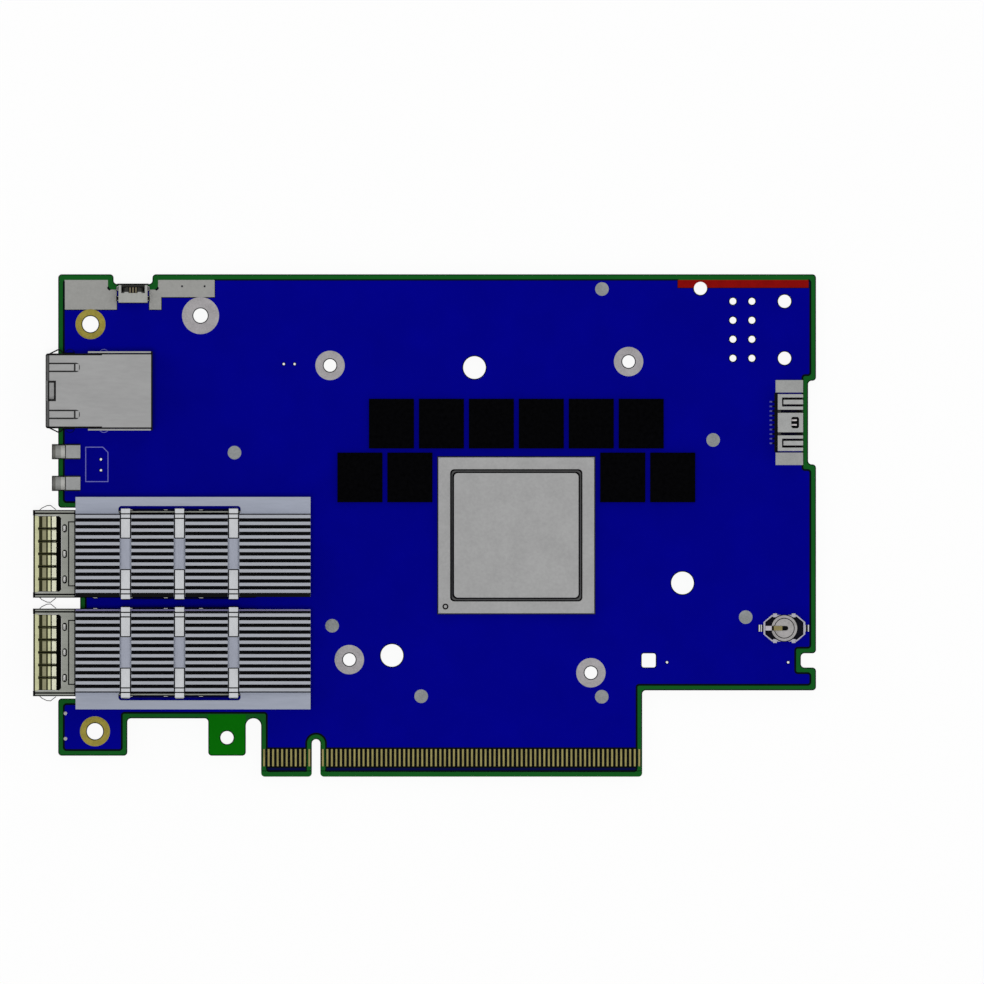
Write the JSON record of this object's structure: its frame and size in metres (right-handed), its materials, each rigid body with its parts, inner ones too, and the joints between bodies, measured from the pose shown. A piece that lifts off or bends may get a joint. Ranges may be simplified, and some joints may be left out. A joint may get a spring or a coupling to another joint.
{
  "type": "network adapter card",
  "caption": "Flat circuit card with a card-edge tongue, finned module cages, a network jack, a lidded processor and memory chips.",
  "frame": {"origin": "centre of the card's box in plan, at the tips of the lowest leads", "axes": "+X from the port edge to the far edge, +Y from the card-edge tongue to the upper edge, +Z out of the component side"},
  "size_m": [0.1732, 0.1112, 0.017],
  "materials": {
    "anodised_aluminium": "clear anodised",
    "black_moulding": "satin moulding compound",
    "black_plastic": "moulded",
    "board_laminate": "satin solder mask over glass laminate",
    "bracket_tin": "tin plate",
    "cage_nickel": "nickel plate",
    "cell_steel": "nickel plated steel",
    "gasket_alloy": "rolled spring alloy",
    "gold_contact": "gold flash",
    "gold_land": "immersion gold",
    "gold_plating": "hard gold plate",
    "grey_plastic": "moulded",
    "holder_plastic": "moulded",
    "jack_plastic": "moulded",
    "jack_steel": "nickel plate",
    "light_lens": "diffused lens",
    "nickel_lid": "matt nickel plate",
    "package_laminate": "satin laminate",
    "red_ink": "satin ink",
    "spring_steel": "bright rolled",
    "tinned_copper": "matt tin",
    "tinned_lead": "tin plate",
    "usb_steel": "nickel plate",
    "white_ink": "print"
  },
  "bodies": {
    "root": {"battery_holder": "holder_plastic", "battery_spring_arm": "gold_contact", "battery_terminals": "tinned_lead", "bracket_hole_lands": "gold_land", "circuit_board": "board_laminate", "coin_cell": "cell_steel", "edge_contacts_top": "gold_plating", "edge_contacts_underside": "gold_plating", "fixing_hole_lands": "tinned_copper", "ground_lands": "tinned_copper", "jack_contacts": "gold_contact", "jack_housing": "jack_plastic", "jack_rear_cover": "jack_steel", "jack_shield": "jack_steel", "lower_cage_base": "cage_nickel", "lower_cage_gasket": "gasket_alloy", "lower_cage_shell": "cage_nickel", "lower_heat_sink": "anodised_aluminium", "lower_heat_sink_clip": "spring_steel", "lower_host_contacts": "gold_contact", "lower_host_housing": "black_plastic", "lower_light_body": "grey_plastic", "lower_light_lens": "light_lens", "memory_chip_1": "black_moulding", "memory_chip_10": "black_moulding", "memory_chip_2": "black_moulding", "memory_chip_3": "black_moulding", "memory_chip_4": "black_moulding", "memory_chip_5": "black_moulding", "memory_chip_6": "black_moulding", "memory_chip_7": "black_moulding", "memory_chip_8": "black_moulding", "memory_chip_9": "black_moulding", "printed_outline": "white_ink", "processor_lid": "nickel_lid", "processor_substrate": "package_laminate", "red_edge_strip": "red_ink", "round_lands": "tinned_copper", "side_socket_brackets": "bracket_tin", "side_socket_housing": "grey_plastic", "side_socket_insert": "black_plastic", "side_socket_latches": "grey_plastic", "side_socket_pins": "tinned_lead", "status_light_leads": "tinned_lead", "upper_cage_base": "cage_nickel", "upper_cage_gasket": "gasket_alloy", "upper_cage_shell": "cage_nickel", "upper_heat_sink": "anodised_aluminium", "upper_heat_sink_clip": "spring_steel", "upper_host_contacts": "gold_contact", "upper_host_housing": "black_plastic", "upper_light_body": "grey_plastic", "upper_light_lens": "light_lens", "usb_contacts": "gold_contact", "usb_shell": "usb_steel", "usb_tongue": "black_plastic"}
  },
  "joints": []
}
